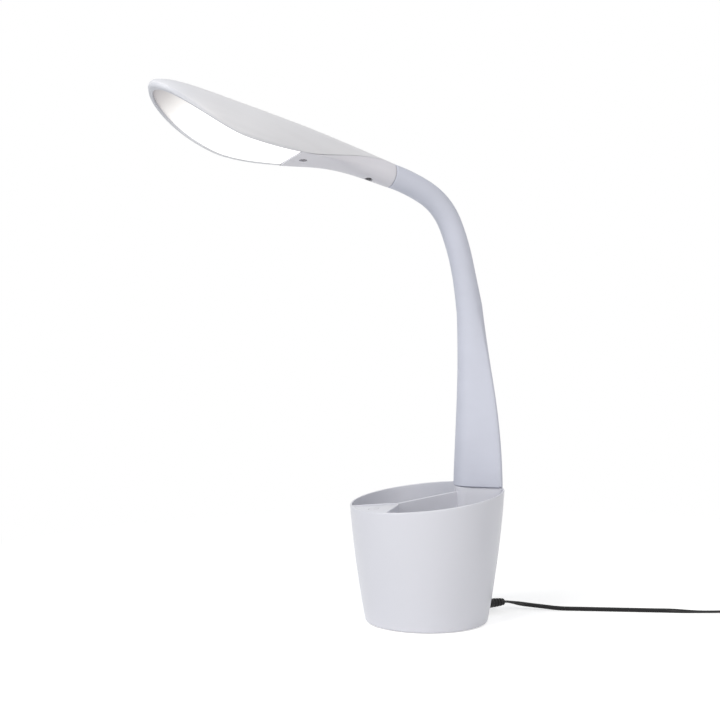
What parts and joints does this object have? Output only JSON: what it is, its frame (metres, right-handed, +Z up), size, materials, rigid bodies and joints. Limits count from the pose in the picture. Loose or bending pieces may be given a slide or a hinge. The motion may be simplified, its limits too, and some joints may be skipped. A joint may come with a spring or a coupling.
{
  "type": "desk lamp with organiser base",
  "caption": "Desk lamp: leaf-shaped light head on a flexible neck, round pen-cup base with a divider and a touch ledge, low-voltage lead with mains adaptor.",
  "frame": {"origin": "centre of the rubber pad under the cup, on the table", "axes": "+Z up, +Y from the middle of the cup to the pillar that carries the neck, head over -Y"},
  "size_m": [0.3001, 0.612, 0.49],
  "materials": {
    "white_shell": "satin",
    "touch_face": "satin",
    "circuit_board": "matte",
    "ballast_steel": "rough",
    "pad_rubber": "matte",
    "screw_steel": "satin",
    "black_plastic": "matte",
    "contact_brass": "polished",
    "neck_skin": "matte",
    "core_steel": "satin",
    "clamp_aluminium": "satin",
    "head_shell": "satin",
    "head_cover": "satin",
    "diffuser_plastic": "matte",
    "led_aluminium": "satin",
    "led_phosphor": "matte",
    "lead_jacket": "matte",
    "tie_strap": "matte"
  },
  "bodies": {
    "base": {"cup_body": "white_shell", "touch_panel": "touch_face", "touch_board": "circuit_board", "bottom_plate": "white_shell", "ballast_disc": "ballast_steel", "rubber_pad": "pad_rubber", "base_screws": "screw_steel", "driver_board": "circuit_board", "board_screws": "screw_steel", "dc_socket": "black_plastic", "socket_pin": "contact_brass", "neck_washer": "screw_steel", "neck_nut": "screw_steel", "neck_boot": "neck_skin", "gooseneck_root": "core_steel", "plug_body": "black_plastic", "plug_barrel": "contact_brass", "lead_run": "lead_jacket", "lead_coil": "lead_jacket", "lead_tie": "tie_strap", "lead_tail": "lead_jacket", "adaptor_body": "black_plastic", "adaptor_blades": "contact_brass"},
    "neck_1": {"neck_sleeve_1": "neck_skin", "gooseneck_core_1": "core_steel"},
    "neck_2": {"neck_sleeve_2": "neck_skin", "gooseneck_core_2": "core_steel"},
    "neck_3": {"neck_sleeve_3": "neck_skin", "gooseneck_core_3": "core_steel"},
    "neck_4": {"neck_sleeve_4": "neck_skin", "gooseneck_core_4": "core_steel"},
    "head": {"head_clamp": "clamp_aluminium", "head_top_shell": "head_shell", "head_rear_cover": "head_cover", "head_screws": "screw_steel", "diffuser": "diffuser_plastic", "led_board": "led_aluminium", "led_chips": "led_phosphor", "led_screws": "screw_steel"}
  },
  "joints": [
    {"name": "neck_sway", "type": "hinge", "parent": "base", "child": "neck_1", "pos_m": [0, 0.0478, 0.2992], "axis": [0, 0.9857, 0.1685], "range_deg": [-25, 25]},
    {"name": "neck_bend_low", "type": "hinge", "parent": "neck_1", "child": "neck_2", "pos_m": [0, 0.03962, 0.33906], "axis": [1, 0, 0], "range_deg": [-25, 25]},
    {"name": "neck_bend_mid", "type": "hinge", "parent": "neck_2", "child": "neck_3", "pos_m": [0, 0.02642, 0.3775], "axis": [1, 0, 0], "range_deg": [-25, 25]},
    {"name": "neck_bend_high", "type": "hinge", "parent": "neck_3", "child": "neck_4", "pos_m": [0, -0.00108, 0.40648], "axis": [1, 0, 0], "range_deg": [-25, 25]},
    {"name": "head_twist", "type": "hinge", "parent": "neck_4", "child": "head", "pos_m": [0, -0.03909, 0.42076], "axis": [0, -0.9711, 0.2385], "range_deg": [-40, 40]}
  ]
}
